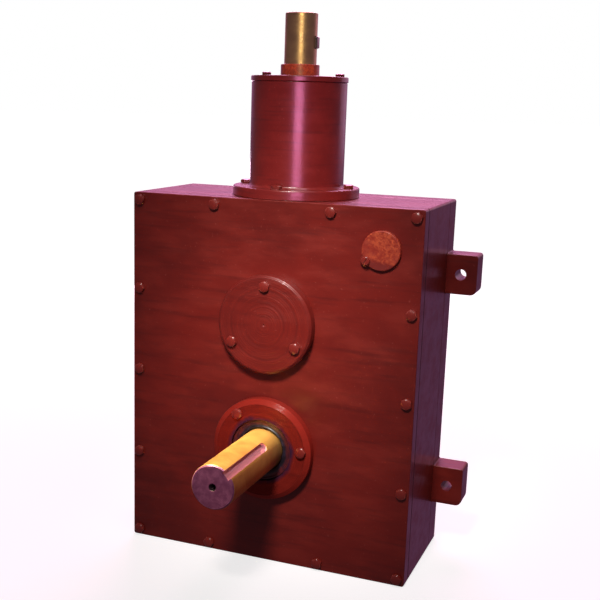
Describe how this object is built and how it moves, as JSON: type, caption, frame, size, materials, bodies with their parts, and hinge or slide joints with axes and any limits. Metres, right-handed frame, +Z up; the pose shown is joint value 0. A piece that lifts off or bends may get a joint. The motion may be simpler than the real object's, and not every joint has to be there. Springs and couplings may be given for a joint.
{
  "type": "right-angle gearbox",
  "caption": "Bevel-spur gearbox in a flat maroon box casing, with a vertical input shaft, a horizontal output shaft and bolt-down lugs.",
  "frame": {"origin": "centre of the casing's underside", "axes": "+X to the right of someone facing the front cover, -Y out of the front cover along the output shaft, +Z up along the input shaft"},
  "size_m": [0.483, 0.342, 0.728],
  "materials": {
    "maroon_enamel": "gloss enamel, mottled and scuffed",
    "primer_orange": "worn orange primer",
    "shaft_steel": "turned, oiled",
    "gear_steel": "cut and hardened",
    "bearing_steel": "ground",
    "seal_rubber": "oily nitrile",
    "gasket_paper": "oil-soaked gasket paper"
  },
  "bodies": {
    "casing": {"casing_frame": "maroon_enamel", "back_plate": "maroon_enamel", "front_cover": "maroon_enamel", "cover_gasket": "gasket_paper", "intermediate_bearing_cap": "maroon_enamel", "output_bearing_cap": "maroon_enamel", "output_oil_seal": "seal_rubber", "input_housing": "maroon_enamel", "input_top_cap": "maroon_enamel", "input_oil_seal": "seal_rubber", "drain_plug": "shaft_steel", "output_front_bearing_cup": "bearing_steel", "output_rear_bearing_cup": "bearing_steel", "intermediate_front_bearing_cup": "bearing_steel", "intermediate_rear_bearing_cup": "bearing_steel", "input_lower_bearing_cup": "bearing_steel", "input_upper_bearing_cup": "bearing_steel", "cover_bolt_01": "maroon_enamel", "cover_bolt_02": "maroon_enamel", "cover_bolt_03": "maroon_enamel", "cover_bolt_04": "maroon_enamel", "cover_bolt_05": "maroon_enamel", "cover_bolt_06": "maroon_enamel", "cover_bolt_07": "maroon_enamel", "cover_bolt_08": "maroon_enamel", "cover_bolt_09": "maroon_enamel", "cover_bolt_10": "maroon_enamel", "cover_bolt_11": "maroon_enamel", "cover_bolt_12": "maroon_enamel", "cover_bolt_13": "maroon_enamel", "cover_bolt_14": "maroon_enamel", "intermediate_cap_bolt_1": "maroon_enamel", "intermediate_cap_bolt_2": "maroon_enamel", "intermediate_cap_bolt_3": "maroon_enamel", "output_cap_bolt_1": "maroon_enamel", "output_cap_bolt_2": "maroon_enamel", "output_cap_bolt_3": "maroon_enamel", "flange_bolt_1": "maroon_enamel", "flange_bolt_2": "maroon_enamel", "flange_bolt_3": "maroon_enamel", "flange_bolt_4": "maroon_enamel", "filler_cover_screw": "maroon_enamel"},
    "output": {"output_shaft": "shaft_steel", "output_gear": "gear_steel", "output_gear_key": "shaft_steel", "output_front_bearing_cone": "bearing_steel", "output_rear_bearing_cone": "bearing_steel"},
    "intermediate": {"intermediate_shaft": "shaft_steel", "crown_gear": "gear_steel", "crown_gear_key": "shaft_steel", "intermediate_front_bearing_cone": "bearing_steel", "intermediate_rear_bearing_cone": "bearing_steel"},
    "input": {"input_shaft": "shaft_steel", "input_shaft_key": "shaft_steel", "bevel_pinion": "gear_steel", "bevel_pinion_key": "shaft_steel", "input_locknut": "shaft_steel", "input_lower_bearing_cone": "bearing_steel", "input_upper_bearing_cone": "bearing_steel"},
    "filler_lid": {"filler_cover": "primer_orange"}
  },
  "joints": [
    {"name": "output_spin", "type": "hinge", "parent": "casing", "child": "output", "pos_m": [0, 0, 0.162], "axis": [0, 1, 0], "continuous": true},
    {"name": "intermediate_spin", "type": "hinge", "parent": "casing", "child": "intermediate", "pos_m": [0, 0, 0.332], "axis": [0, 1, 0], "continuous": true},
    {"name": "input_spin", "type": "hinge", "parent": "casing", "child": "input", "pos_m": [0, 0, 0], "axis": [0, 0, 1], "continuous": true},
    {"name": "filler_cover_swing", "type": "hinge", "parent": "casing", "child": "filler_lid", "pos_m": [0.1295, -0.088, 0.4255], "axis": [0, 1, 0], "range_deg": [0, 120]}
  ],
  "couplings": [
    {"joint": "intermediate_spin", "follows": "output_spin", "ratio": -3},
    {"joint": "input_spin", "follows": "output_spin", "ratio": 6}
  ]
}
